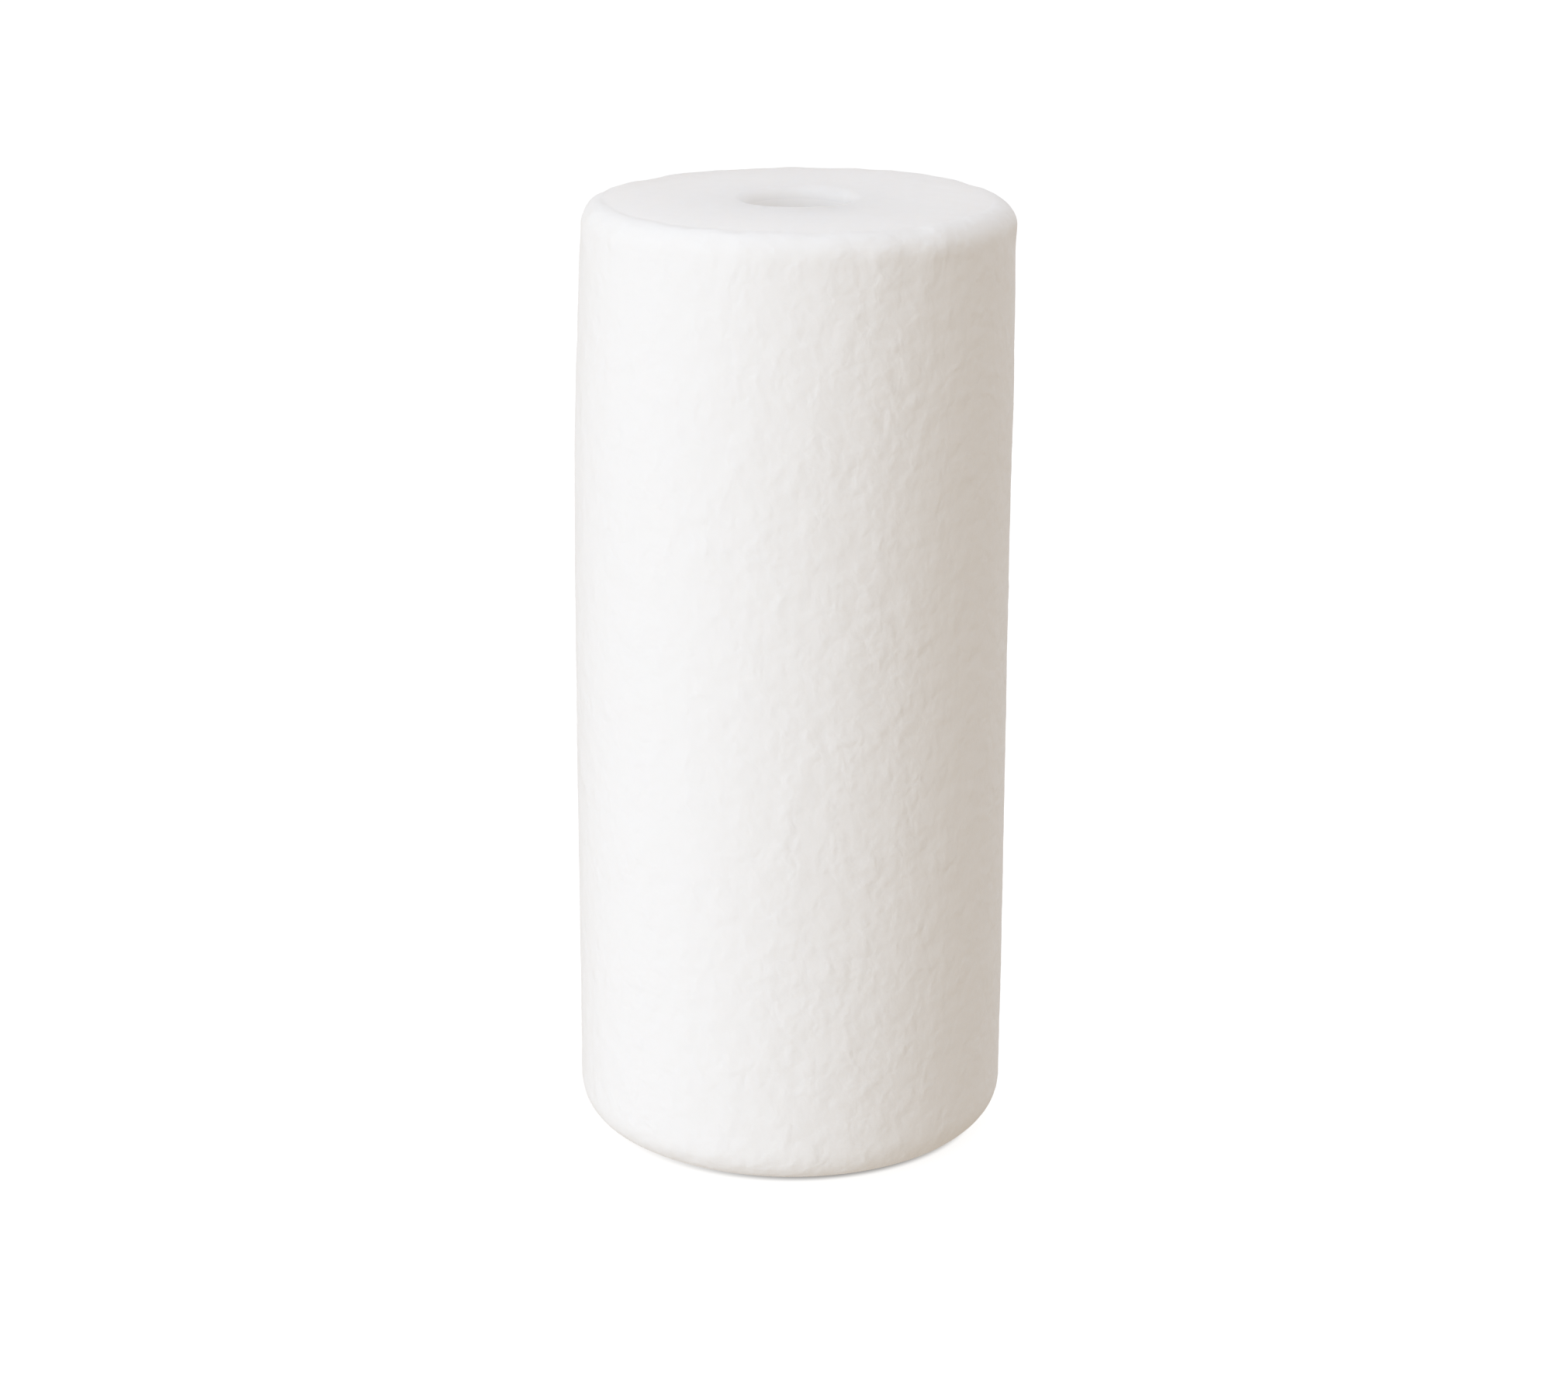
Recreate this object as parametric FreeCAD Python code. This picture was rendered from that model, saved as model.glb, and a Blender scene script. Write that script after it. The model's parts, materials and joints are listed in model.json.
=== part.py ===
import FreeCAD, Part
import math
import os

os.makedirs("parts", exist_ok=True)

# Melt-blown sediment filter cartridge, the large 10 inch by 4.5 inch size.
# It is one blown body of bonded fibre: no core tube, net, cap or gasket.
# Z is up along the bore. The origin is the middle of the base that it stands on.

# Driving sizes in millimetres.
length = 251.0
outer_diameter = 114.0
bore_diameter = 27.0

# The wall is straight from the base up, then leans inwards over this height below the top
# end, where the blown fibre is drawn off. The bend's two tangents meet this far above it.
top_draw_height = 67.0
top_draw_bend = 12.0
top_draw_in = 1.35

# Both ends are sawn flat. Their outer edges are soft and well rounded, the base
# more than the top, and the bore has the same soft mouth at both ends.
top_edge_radius = 6.0
base_edge_radius = 11.0
mouth_radius = 3.0


def section_point(radius, height):
    """A point of the section, this far from the bore's axis and above the base."""
    return FreeCAD.Vector(radius, 0, height)


def section_arc(centre, radius, start, end):
    """A round of the section about its centre, between two angles in degrees."""
    points = []
    for angle in (start, (start + end) / 2, end):
        turn = math.radians(angle)
        points.append(centre + radius * section_point(math.cos(turn), math.sin(turn)))
    return Part.Arc(*points).toShape()


def tangent_angle(point, centre, radius):
    """The angle in degrees at which the line from a point below touches the circle's outer side."""
    reach = point - centre
    opening = math.acos(radius / math.hypot(reach.x, reach.z))
    return math.degrees(math.atan2(reach.z, reach.x) + opening)


def wall_section():
    """The closed outline between the bore and the outside, as a face in the plane X Z."""
    outer_radius = outer_diameter / 2
    bore_radius = bore_diameter / 2
    draw_start = length - top_draw_height

    # The centres that the four rounds turn about.
    top_edge = section_point(outer_radius - top_draw_in - top_edge_radius, length - top_edge_radius)
    base_edge = section_point(outer_radius - base_edge_radius, base_edge_radius)
    top_mouth = section_point(bore_radius + mouth_radius, length - mouth_radius)
    base_mouth = section_point(bore_radius + mouth_radius, mouth_radius)

    # The drawn-in stretch bends out of the straight wall on a very wide round, leans
    # straight on and runs into the top edge's round without a kink.
    bend_point = section_point(outer_radius, draw_start + top_draw_bend)
    lean = tangent_angle(bend_point, top_edge, top_edge_radius)
    bend_radius = top_draw_bend / math.tan(math.radians(lean / 2))
    bend = section_arc(section_point(outer_radius - bend_radius, draw_start), bend_radius, 0, lean)
    top_round = section_arc(top_edge, top_edge_radius, lean, 90)

    edges = [
        Part.makeLine(section_point(base_mouth.x, 0), section_point(base_edge.x, 0)),
        section_arc(base_edge, base_edge_radius, -90, 0),
        Part.makeLine(section_point(outer_radius, base_edge.z), section_point(outer_radius, draw_start)),
        bend,
        Part.makeLine(bend.Vertexes[-1].Point, top_round.Vertexes[0].Point),
        top_round,
        Part.makeLine(section_point(top_edge.x, length), section_point(top_mouth.x, length)),
        section_arc(top_mouth, mouth_radius, 90, 180),
        Part.makeLine(section_point(bore_radius, top_mouth.z), section_point(bore_radius, base_mouth.z)),
        section_arc(base_mouth, mouth_radius, 180, 270),
    ]
    return Part.Face(Part.Wire(edges))


def filter_body():
    """The section turned once about the bore's axis."""
    axis_foot = FreeCAD.Vector(0, 0, 0)
    axis_up = FreeCAD.Vector(0, 0, 1)
    return wall_section().revolve(axis_foot, axis_up, 360)


filter_body().exportStep("parts/filter_body.step")
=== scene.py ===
import json
import math

import bpy
import numpy as np
from mathutils import Matrix, Vector


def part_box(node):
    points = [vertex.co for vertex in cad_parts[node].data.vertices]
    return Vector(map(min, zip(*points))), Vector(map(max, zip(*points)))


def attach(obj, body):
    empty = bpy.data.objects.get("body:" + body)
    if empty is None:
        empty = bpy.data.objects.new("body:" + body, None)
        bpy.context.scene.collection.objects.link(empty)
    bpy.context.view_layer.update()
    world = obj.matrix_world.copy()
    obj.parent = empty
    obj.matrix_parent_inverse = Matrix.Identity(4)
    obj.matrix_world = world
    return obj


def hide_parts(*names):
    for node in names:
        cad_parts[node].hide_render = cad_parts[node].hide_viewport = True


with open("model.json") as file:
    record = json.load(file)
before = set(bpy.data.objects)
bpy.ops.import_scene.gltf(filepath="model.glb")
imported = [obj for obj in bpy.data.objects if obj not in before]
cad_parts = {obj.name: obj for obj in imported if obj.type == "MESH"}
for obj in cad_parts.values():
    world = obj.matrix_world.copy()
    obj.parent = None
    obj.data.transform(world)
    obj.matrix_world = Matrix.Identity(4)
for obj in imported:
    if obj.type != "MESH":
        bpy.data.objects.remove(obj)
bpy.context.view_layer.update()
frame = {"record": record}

# The blown body: one thick tube of fine polypropylene fibre, blown hot on to a turning
# mandrel until it is 114 mm across, drawn off it and sawn to length. Nothing is fixed to
# it. Its skin is faintly mottled, its sawn ends are felted, and its bore is smoother.
base_corner, top_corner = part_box("filter_body")
outer_radius = (top_corner.x - base_corner.x) / 2
length = top_corner.z - base_corner.z
mounts = {mount["name"]: mount for mount in frame["record"]["mounts"]}
bore_radius = mounts["bore"]["dims"]["r_mm"] / 1000
top_edge_radius = 0.006
base_edge_radius = 0.011
mouth_radius = 0.003
top_draw_height = 0.067
top_draw_bend = 0.012
top_draw_in = 0.00135


def run_between(start, end, steps):
    """Evenly spaced points from start up to, but without, end."""
    share = np.arange(steps)[:, None] / steps
    return np.array(start) * (1 - share) + np.array(end) * share


def round_about(centre, radius, first, last, steps):
    """Points on a circle about centre, from one angle in degrees up to, but without, another."""
    turn = np.radians(first + (last - first) * np.arange(steps) / steps)
    return np.array(centre) + radius * np.stack([np.cos(turn), np.sin(turn)], axis=1)


def tangent_angle(point, centre, radius):
    """The angle in degrees at which the line from a point below touches a circle's outer side."""
    across, up = point[0] - centre[0], point[1] - centre[1]
    return math.degrees(math.atan2(up, across) + math.acos(radius / math.hypot(across, up)))


def body_outline():
    """The closed outline of half the body's section, as (distance from the axis, height).

    It runs up the outside, over the top face, down the bore and back under the base.
    The second array says which finish each stretch has: 0 blown skin, 1 sawn end, 2 bore.
    """
    bend_rings = 22
    bore_rings = 30
    bore_crowding = 2.2

    draw_start = length - top_draw_height
    drawn_radius = outer_radius - top_draw_in
    top_edge = (drawn_radius - top_edge_radius, length - top_edge_radius)
    base_edge = (outer_radius - base_edge_radius, base_edge_radius)
    top_mouth = (bore_radius + mouth_radius, length - mouth_radius)
    base_mouth = (bore_radius + mouth_radius, mouth_radius)
    lean = tangent_angle((outer_radius, draw_start + top_draw_bend), top_edge, top_edge_radius)
    bend_radius = top_draw_bend / math.tan(math.radians(lean / 2))
    bend = round_about((outer_radius - bend_radius, draw_start), bend_radius, 0, lean, bend_rings)
    bend_end = round_about((outer_radius - bend_radius, draw_start), bend_radius, lean, 90, 1)[0]
    lean_end = round_about(top_edge, top_edge_radius, lean, 90, 1)[0]

    # The bore's rings lie closer together near its top mouth, where it can be seen into.
    down_the_bore = (np.arange(bore_rings) / bore_rings) ** bore_crowding
    bore = np.stack([np.full(bore_rings, bore_radius),
                     top_mouth[1] + (base_mouth[1] - top_mouth[1]) * down_the_bore], axis=1)

    # A call's last number is how many rings that stretch has.
    stretches = [
        (run_between((outer_radius, base_edge_radius), (outer_radius, draw_start), 157), 0),
        (bend, 0),
        (run_between(bend_end, lean_end, 34), 0),
        (round_about(top_edge, top_edge_radius, lean, 90, 11), 0),
        (run_between((top_edge[0], length), (top_mouth[0], length), 24), 1),
        (round_about(top_mouth, mouth_radius, 90, 180, 8), 1),
        (bore, 2),
        (round_about(base_mouth, mouth_radius, 180, 270, 6), 1),
        (run_between((base_mouth[0], 0), (base_edge[0], 0), 10), 1),
        (round_about(base_edge, base_edge_radius, -90, 0, 15), 0),
    ]
    outline = np.concatenate([points for points, finish in stretches])
    finishes = np.concatenate([np.full(len(points), finish) for points, finish in stretches])
    return outline, finishes


def ease(low, high, value):
    """0 below low, 1 above high, and a smooth step between them."""
    share = np.clip((value - low) / (high - low), 0, 1)
    return share * share * (3 - 2 * share)


def unevenness(points, shortest, longest, upright, seed, waves=90):
    """A smooth random field over points in space, of mean 0 and spread 1.

    It is a sum of plane waves of random direction and phase, whose lengths lie evenly on a
    log scale between shortest and longest. Its features are upright times taller than wide.
    """
    draw = np.random.default_rng(seed)
    direction = draw.normal(size=(3, waves))
    direction /= np.linalg.norm(direction, axis=0)
    wave_length = shortest * (longest / shortest) ** draw.random(waves)
    waving = direction * 2 * math.pi / wave_length
    waving[2] /= upright
    phase = draw.uniform(0, 2 * math.pi, waves)
    return np.cos(points @ waving + phase).sum(axis=1) * math.sqrt(2 / waves)


def strands(points, spacing, upright, seed):
    """Low ridges along the lines where a random field is 0, like a loose web of strands.

    They come and go in patches that are 3 to 8 spacings wide.
    """
    ridge_width = 0.4
    field = unevenness(points, spacing, spacing * 1.8, upright, seed)
    patch = ease(-0.6, 1.2, unevenness(points, spacing * 3, spacing * 8, upright, seed + 1))
    return np.exp(-(field / ridge_width) ** 2) * patch


def blown_body(columns=308):
    """The outline turned about the axis as a grid, then raised and sunk along its normals.

    Each point moves outwards by the sum of long waves, lumps and strands, and the top edge
    by soft dents too. Nothing moves on the base that it stands on. The drawn-off top leans
    a little to the right of the wall's own axis, and the fibre stands a little proud around
    the mouth of the bore. A fade's two values are where it starts and where it is full.
    """
    long_waves, long_wave_lengths = 0.00018, (0.045, 0.14)
    lumps, lump_widths = 0.00003, (0.006, 0.02)
    web, wide_web_spacing, fine_web_spacing = 0.00006, 0.006, 0.0045
    edge_dents, edge_dent_widths = 0.00012, (0.008, 0.025)
    edge_fade_radii = (0.038, 0.050)
    edge_fade_heights = (length - 0.016, length - 0.004)
    base_fade_heights = (0.0, 0.006)
    bore_smoothness = 0.4
    top_lean, lean_power = 0.00085, 1.2
    mouth_rise, mouth_width = 0.0009, 0.005
    mouth_fade_heights = (length - 0.007, length - 0.001)

    outline, finishes = body_outline()
    rings = len(outline)
    along = np.roll(outline, -1, axis=0) - np.roll(outline, 1, axis=0)
    along /= np.linalg.norm(along, axis=1)[:, None]
    turn = 2 * math.pi * np.arange(columns) / columns
    ring_radius, ring_height = outline[:, 0][:, None], outline[:, 1][:, None]
    out_x, out_y = np.cos(turn)[None, :], np.sin(turn)[None, :]
    point = np.stack([ring_radius * out_x, ring_radius * out_y, ring_height + 0 * out_x], axis=2)
    normal = np.stack([along[:, 1][:, None] * out_x, along[:, 1][:, None] * out_y,
                       -along[:, 0][:, None] + 0 * out_x], axis=2)

    place = point.reshape(-1, 3)
    from_axis = np.hypot(place[:, 0], place[:, 1])
    on_top_edge = ease(*edge_fade_radii, from_axis) * ease(*edge_fade_heights, place[:, 2])
    relief = long_waves * unevenness(place, *long_wave_lengths, upright=1.6, seed=3)
    relief += lumps * unevenness(place, *lump_widths, upright=1.3, seed=5)
    relief += web * strands(place, wide_web_spacing, upright=1.5, seed=7)
    relief += web * strands(place, fine_web_spacing, upright=1.3, seed=11)
    relief += edge_dents * on_top_edge * unevenness(place, *edge_dent_widths, upright=1.0, seed=13)
    relief = relief.reshape(rings, columns, 1)
    in_bore = (finishes == 2)[:, None, None]
    relief = np.where(in_bore, bore_smoothness * relief, relief)
    relief *= ease(*base_fade_heights, point[:, :, 2:])
    point = point + normal * relief

    draw_start = length - top_draw_height
    way_up = np.clip((ring_height - draw_start) / (top_draw_height - top_edge_radius), 0, 1)
    point[:, :, 0] += top_lean * way_up ** lean_power
    from_bore = (ring_radius - bore_radius) / mouth_width
    swelling = np.exp(-from_bore) * ease(*mouth_fade_heights, ring_height)
    point[:, :, 2] += mouth_rise * swelling

    ring = np.arange(rings)[:, None]
    column = np.arange(columns)[None, :]
    next_ring, next_column = (ring + 1) % rings, (column + 1) % columns
    quads = np.stack([ring * columns + column, ring * columns + next_column,
                      next_ring * columns + next_column, next_ring * columns + column], axis=2)
    mesh = bpy.data.meshes.new("blown_body")
    mesh.vertices.add(rings * columns)
    mesh.vertices.foreach_set("co", point.astype(np.float32).ravel())
    mesh.loops.add(quads.size)
    mesh.loops.foreach_set("vertex_index", quads.astype(np.int32).ravel())
    mesh.polygons.add(rings * columns)
    mesh.polygons.foreach_set("loop_start", np.arange(0, quads.size, 4, dtype=np.int32))
    mesh.polygons.foreach_set("material_index", np.repeat(finishes, columns).astype(np.int32))
    mesh.polygons.foreach_set("use_smooth", np.ones(rings * columns, dtype=bool))
    mesh.update(calc_edges=True)
    mesh.validate()
    piece = bpy.data.objects.new("blown_body", mesh)
    bpy.context.scene.collection.objects.link(piece)
    return piece


def join(tree, source, target):
    """Links one node's socket to another's."""
    tree.links.new(source, target)


def fibre_relief_group():
    """The soft dents and creases of the fibre, which all three finishes share.

    They are one noise, deeper in some patches than in others, and a fine grain. Height is
    in millimetres, and Shade runs from 0 in the dents to 1: painted shade in their colour.
    """
    group = bpy.data.node_groups.new("fibre_relief", "ShaderNodeTree")
    for name, kind, default in (
        ("Position", "NodeSocketVector", None),
        ("Dents per mm", "NodeSocketFloat", 0.25),
        ("Upright", "NodeSocketFloat", 1.1),
        ("Depth", "NodeSocketFloat", 0.4),
        ("Grain", "NodeSocketFloat", 0.006),
    ):
        socket = group.interface.new_socket(name, in_out="INPUT", socket_type=kind)
        if default is not None:
            socket.default_value = default
    group.interface.new_socket("Height", in_out="OUTPUT", socket_type="NodeSocketFloat")
    group.interface.new_socket("Shade", in_out="OUTPUT", socket_type="NodeSocketFloat")
    inputs = group.nodes.new("NodeGroupInput")
    outputs = group.nodes.new("NodeGroupOutput")

    def maths(operation, *values):
        node = group.nodes.new("ShaderNodeMath")
        node.operation = operation
        for index, value in enumerate(values):
            if isinstance(value, (int, float)):
                node.inputs[index].default_value = value
            else:
                join(group, value, node.inputs[index])
        return node.outputs[0]

    def noise(vector, scale, detail, distortion):
        node = group.nodes.new("ShaderNodeTexNoise")
        node.inputs["Detail"].default_value = detail
        node.inputs["Distortion"].default_value = distortion
        join(group, vector, node.inputs["Vector"])
        if isinstance(scale, (int, float)):
            node.inputs["Scale"].default_value = scale
        else:
            join(group, scale, node.inputs["Scale"])
        return node.outputs["Fac"]

    in_mm = group.nodes.new("ShaderNodeVectorMath")
    in_mm.operation = "SCALE"
    in_mm.inputs["Scale"].default_value = 1000.0
    join(group, inputs.outputs["Position"], in_mm.inputs[0])
    split = group.nodes.new("ShaderNodeSeparateXYZ")
    join(group, in_mm.outputs[0], split.inputs[0])
    stretched = group.nodes.new("ShaderNodeCombineXYZ")
    join(group, split.outputs["X"], stretched.inputs["X"])
    join(group, split.outputs["Y"], stretched.inputs["Y"])
    join(group, maths("DIVIDE", split.outputs["Z"], inputs.outputs["Upright"]), stretched.inputs["Z"])
    place = stretched.outputs[0]

    dents = noise(place, inputs.outputs["Dents per mm"], detail=1.5, distortion=0.3)
    patches = maths("MULTIPLY", noise(place, scale=0.11, detail=2.0, distortion=0.4), 2.0)
    deep = maths("MULTIPLY", maths("MULTIPLY", dents, patches), inputs.outputs["Depth"])
    fine = noise(place, scale=3.2, detail=2.0, distortion=0.0)
    grain = maths("MULTIPLY", fine, inputs.outputs["Grain"])
    join(group, maths("ADD", deep, grain), outputs.inputs["Height"])
    join(group, dents, outputs.inputs["Shade"])
    return group


def fibre_material(name, group, values, pale, dent_mottle_and_shade, roughness, light_share, light_depth):
    """Matte fibre: the relief drives the bump, and its dents are a little darker: painted shade and faint
    mottling.

    Light_share of the light soaks in and comes out again up to about light_depth away.
    """
    material = bpy.data.materials.new(name)
    material.use_nodes = True
    tree = material.node_tree
    shader = tree.nodes["Principled BSDF"]
    place = tree.nodes.new("ShaderNodeTexCoord")
    relief = tree.nodes.new("ShaderNodeGroup")
    relief.node_tree = group
    for socket, value in values.items():
        relief.inputs[socket].default_value = value
    join(tree, place.outputs["Object"], relief.inputs["Position"])
    # The darker tone in the dents is painted shade, along with faint mottling.
    tone = tree.nodes.new("ShaderNodeMix")
    tone.data_type = "RGBA"
    tone.inputs[6].default_value = dent_mottle_and_shade
    tone.inputs[7].default_value = pale
    join(tree, relief.outputs["Shade"], tone.inputs[0])
    join(tree, tone.outputs[2], shader.inputs["Base Color"])
    bump = tree.nodes.new("ShaderNodeBump")
    bump.inputs["Strength"].default_value = 1.0
    bump.inputs["Distance"].default_value = 0.001
    join(tree, relief.outputs["Height"], bump.inputs["Height"])
    join(tree, bump.outputs["Normal"], shader.inputs["Normal"])
    shader.inputs["Roughness"].default_value = roughness
    shader.inputs["IOR"].default_value = 1.3
    shader.inputs["Specular IOR Level"].default_value = 0.25
    shader.inputs["Subsurface Weight"].default_value = light_share
    shader.inputs["Subsurface Radius"].default_value = (1.0, 0.95, 0.9)
    shader.inputs["Subsurface Scale"].default_value = light_depth
    return material


body = blown_body()
fibre_relief = fibre_relief_group()
skin = fibre_material(
    "blown_skin", fibre_relief, {"Dents per mm": 0.24, "Upright": 1.05, "Depth": 0.42, "Grain": 0.001},
    pale=(0.94, 0.94, 0.935, 1), dent_mottle_and_shade=(0.93, 0.93, 0.923, 1),
    roughness=0.9, light_share=0.15, light_depth=0.002)
ends = fibre_material(
    "sawn_fibre", fibre_relief, {"Dents per mm": 0.4, "Upright": 1.0, "Depth": 0.05, "Grain": 0.008},
    pale=(0.93, 0.93, 0.925, 1), dent_mottle_and_shade=(0.91, 0.91, 0.90, 1),
    roughness=0.95, light_share=1.0, light_depth=0.04)
# The bore's paler base colour is painted light: it stands in for the light that reaches into the bore.
bore = fibre_material(
    "bore_fibre", fibre_relief, {"Dents per mm": 0.4, "Upright": 0.7, "Depth": 0.05, "Grain": 0.004},
    pale=(0.97, 0.965, 0.95, 1), dent_mottle_and_shade=(0.95, 0.945, 0.93, 1),
    roughness=0.85, light_share=1.0, light_depth=0.06)
for finish in (skin, ends, bore):
    body.data.materials.append(finish)
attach(body, "root")
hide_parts("filter_body")

# The floor: a plain white studio sweep, so pale that it shows no shadow. The thin dark line
# where the part touches it is a painted shadow in the floor's glow, darker on the side away
# from the key. It isn't part of the object, throws no light on to it, and is clear from below.
floor_half_width = 8.0
floor_tone = (0.25, 0.25, 0.25, 1)
floor_glow = 0.85
shade_start = 0.0485
shade_end = 0.052
painted_shadow_depth = 0.75
shade_side = (0.80, -0.60, 0.0)
light_side_ends = -0.02
shade_side_starts = 0.04
light_side_share = 0.2
floor_mesh = bpy.data.meshes.new("studio_floor")
floor_mesh.from_pydata([(-floor_half_width, -floor_half_width, 0), (floor_half_width, -floor_half_width, 0),
                        (floor_half_width, floor_half_width, 0), (-floor_half_width, floor_half_width, 0)],
                       [], [(0, 1, 2, 3)])
floor = bpy.data.objects.new("studio_floor", floor_mesh)
bpy.context.scene.collection.objects.link(floor)
floor.visible_diffuse = False
floor.visible_glossy = False
floor.visible_shadow = False
floor_paint = bpy.data.materials.new("studio_white")
floor_paint.use_nodes = True
floor_shader = floor_paint.node_tree.nodes["Principled BSDF"]
floor_shader.inputs["Base Color"].default_value = floor_tone
floor_shader.inputs["Roughness"].default_value = 1.0
floor_shader.inputs["Specular IOR Level"].default_value = 0.0
floor_shader.inputs["Emission Color"].default_value = (1.0, 1.0, 1.0, 1)
floor_tree = floor_paint.node_tree


def floor_maths(kind, operation, *values):
    """A maths node of the floor's tree, whose sockets take numbers, vectors or other outputs."""
    node = floor_tree.nodes.new(kind)
    node.operation = operation
    for index, value in enumerate(values):
        if isinstance(value, (int, float, tuple)):
            node.inputs[index].default_value = value
        else:
            join(floor_tree, value, node.inputs[index])
    return node.outputs["Value"]


def floor_step(value, start, end, at_start, at_end):
    """A smooth step of the value, from at_start to at_end."""
    node = floor_tree.nodes.new("ShaderNodeMapRange")
    node.interpolation_type = "SMOOTHSTEP"
    for index, limit in enumerate((start, end, at_start, at_end), start=1):
        node.inputs[index].default_value = limit
    join(floor_tree, value, node.inputs[0])
    return node.outputs[0]


# Painted shadow: the floor's glow dims in a thin ring round the base, most on the side away from the key.
floor_place = floor_tree.nodes.new("ShaderNodeTexCoord").outputs["Object"]
from_axis = floor_maths("ShaderNodeVectorMath", "LENGTH", floor_place)
shade_share = floor_maths("ShaderNodeVectorMath", "DOT_PRODUCT", floor_place, shade_side)
painted_shadow_near = floor_step(from_axis, shade_start, shade_end, painted_shadow_depth, 0.0)
side_shade = floor_step(shade_share, light_side_ends, shade_side_starts, light_side_share, 1.0)
painted_shadow = floor_maths("ShaderNodeMath", "MULTIPLY", painted_shadow_near, side_shade)
unshaded = floor_maths("ShaderNodeMath", "SUBTRACT", 1.0, painted_shadow)
glow = floor_maths("ShaderNodeMath", "MULTIPLY", unshaded, floor_glow)
join(floor_tree, glow, floor_shader.inputs["Emission Strength"])
floor_side = floor_tree.nodes.new("ShaderNodeNewGeometry")
floor_clear = floor_tree.nodes.new("ShaderNodeBsdfTransparent")
floor_mix = floor_tree.nodes.new("ShaderNodeMixShader")
join(floor_tree, floor_side.outputs["Backfacing"], floor_mix.inputs[0])
join(floor_tree, floor_shader.outputs[0], floor_mix.inputs[1])
join(floor_tree, floor_clear.outputs[0], floor_mix.inputs[2])
join(floor_tree, floor_mix.outputs[0], floor_tree.nodes["Material Output"].inputs["Surface"])
floor.data.materials.append(floor_paint)

# The light: a dim warm room all round, a broad key low on the left and a soft lamp
# high up behind the part, which lights its top end and leaves the wall alone.
room_light = (0.565, 0.50, 0.43, 1)
room_seen = (1.0, 1.0, 1.0, 1)


def soft_sun(name, azimuth, elevation, softness, power, colour):
    """A distant light. Azimuth 0 is the camera's side and turns towards the right."""
    light = bpy.data.lights.new(name, "SUN")
    light.angle = math.radians(softness)
    light.energy = power
    light.color = colour
    lamp = bpy.data.objects.new(name, light)
    around, up = math.radians(azimuth), math.radians(elevation)
    towards = Vector((math.sin(around) * math.cos(up), -math.cos(around) * math.cos(up), math.sin(up)))
    lamp.rotation_euler = towards.to_track_quat("Z", "Y").to_euler()
    bpy.context.scene.collection.objects.link(lamp)
    return lamp


soft_sun("key", azimuth=-44, elevation=12, softness=40, power=1.87, colour=(0.76, 0.865, 1.0))
soft_sun("back_lamp", azimuth=130, elevation=60, softness=60, power=1.07, colour=(0.65, 0.79, 1.0))
room = bpy.data.worlds.new("studio_room")
room.use_nodes = True
room_tree = room.node_tree
looked_at = room_tree.nodes.new("ShaderNodeLightPath")
room_tone = room_tree.nodes.new("ShaderNodeMix")
room_tone.data_type = "RGBA"
room_tone.inputs[6].default_value = room_light
room_tone.inputs[7].default_value = room_seen
join(room_tree, looked_at.outputs["Is Camera Ray"], room_tone.inputs[0])
join(room_tree, room_tone.outputs[2], room_tree.nodes["Background"].inputs["Color"])
bpy.context.scene.world = room

# The camera: level with the photographer's eye a metre away, looking down at the part.
camera_distance = 0.9458
camera_height = 0.4158
camera_dip = 17.446
camera_heading = 0.128
camera_tilt = 0.314
focal_length = 85.41
film_width = 36.0
lens = bpy.data.cameras.new("camera")
lens.sensor_width = film_width
lens.lens = focal_length
lens.clip_end = 50.0
camera = bpy.data.objects.new("camera", lens)
heading = Matrix.Rotation(math.radians(camera_heading), 4, "Z")
dip = Matrix.Rotation(math.radians(90 - camera_dip), 4, "X")
tilt = Matrix.Rotation(math.radians(camera_tilt), 4, "Z")
camera.matrix_world = Matrix.Translation((0, -camera_distance, camera_height)) @ heading @ dip @ tilt
bpy.context.scene.collection.objects.link(camera)
bpy.context.scene.camera = camera
bpy.context.scene.view_settings.view_transform = "Standard"
